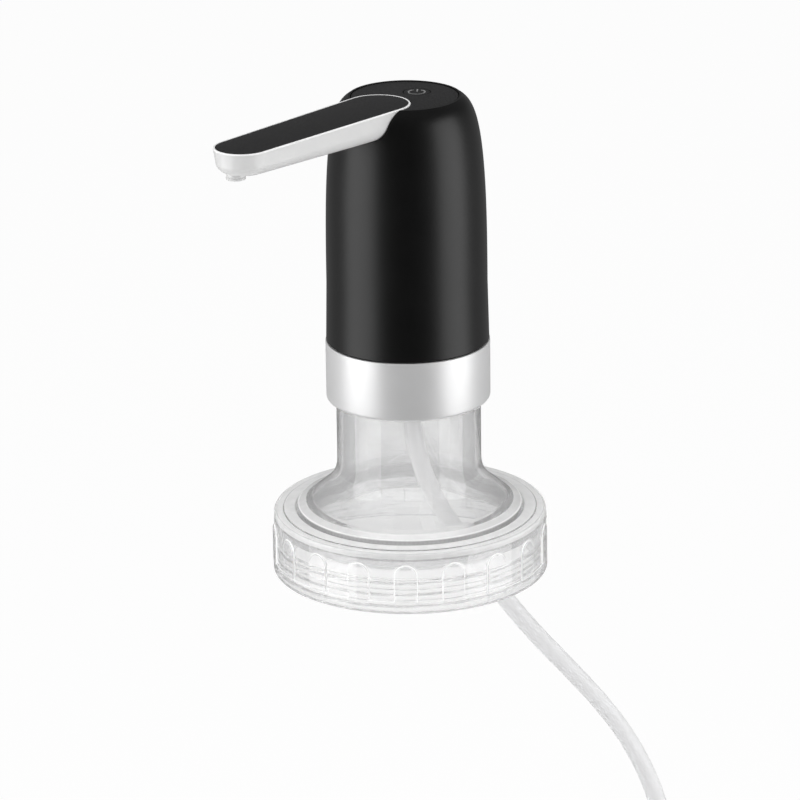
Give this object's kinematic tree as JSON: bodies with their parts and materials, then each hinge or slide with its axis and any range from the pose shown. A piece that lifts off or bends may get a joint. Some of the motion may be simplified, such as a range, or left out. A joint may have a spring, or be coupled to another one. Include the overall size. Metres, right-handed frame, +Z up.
{
  "type": "water bottle pump",
  "caption": "Battery pump for a drinking-water bottle: round housing with a flat spout arm, power button and suction hose, on a clear flared neck held by a screw collar.",
  "frame": {"origin": "on the axis of neck and collar, in the plane of the gasket's underside, where the bottle's lip meets it", "axes": "+Z up along the axis of neck, collar and pump; the spout arm points to -Y and the charging port is at +Y"},
  "size_m": [0.1369, 0.1731, 0.4703],
  "materials": {
    "clear_plastic": "clear, polished",
    "silicone": "translucent, satin",
    "black_plastic": "satin",
    "grained_black": "fine grain, matt",
    "white_plastic": "gloss",
    "satin_chrome": "satin plated",
    "steel": "plain",
    "black_rubber": "matt",
    "grey_plastic": "moulded, matt",
    "circuit_board": "green lacquer",
    "battery_wrap": "shrink wrap",
    "light_lens": "clear lens"
  },
  "bodies": {
    "adapter": {"neck_insert": "clear_plastic", "lip_gasket": "silicone"},
    "collar": {"screw_collar": "clear_plastic"},
    "seal": {"neck_seal": "silicone"},
    "head": {"base_ring": "satin_chrome", "base_plate": "grey_plastic", "housing_shell": "black_plastic", "top_disc": "grained_black", "arm_shell": "white_plastic", "arm_cover": "grained_black", "arm_elbow": "white_plastic", "nozzle": "white_plastic", "arm_screw_1": "steel", "arm_screw_2": "steel", "spout_tube": "silicone", "outlet_tube": "silicone", "inlet_tube": "silicone", "inner_frame": "grey_plastic", "frame_screw_1": "steel", "frame_screw_2": "steel", "frame_screw_3": "steel", "battery_cell": "battery_wrap", "pump_head": "grey_plastic", "valve_plate": "grey_plastic", "diaphragm": "black_rubber", "wobble_plate": "grey_plastic", "crank_case": "grey_plastic", "motor_can": "steel", "motor_end_cap": "grey_plastic", "pump_screw_1": "steel", "pump_screw_2": "steel", "pump_screw_3": "steel", "pump_screw_4": "steel", "control_board": "circuit_board", "switch_body": "grey_plastic", "charge_board": "circuit_board", "charge_port": "steel", "status_light": "light_lens", "suction_hose": "silicone"},
    "button": {"power_button": "black_plastic", "switch_plunger": "grey_plastic"},
    "rotor": {"motor_shaft": "steel", "eccentric": "grey_plastic"}
  },
  "joints": [
    {"name": "collar_spin", "type": "hinge", "parent": "adapter", "child": "collar", "pos_m": [0, 0, 0], "axis": [0, 0, 1], "continuous": true},
    {"name": "head_lift", "type": "slide", "parent": "adapter", "child": "seal", "axis": [0, 0, 1], "range_m": [0, 0.02]},
    {"name": "head_swivel", "type": "hinge", "parent": "seal", "child": "head", "pos_m": [0, 0, 0.07], "axis": [0, 0, 1], "continuous": true},
    {"name": "power_button", "type": "slide", "parent": "head", "child": "button", "axis": [0, 0, -1], "range_m": [0, 0.0006], "stiffness_N_per_m": 2000, "springref_m": -0.0003},
    {"name": "motor_spin", "type": "hinge", "parent": "head", "child": "rotor", "pos_m": [-0.00985, 0, 0.118], "axis": [0, 0, 1], "continuous": true}
  ]
}
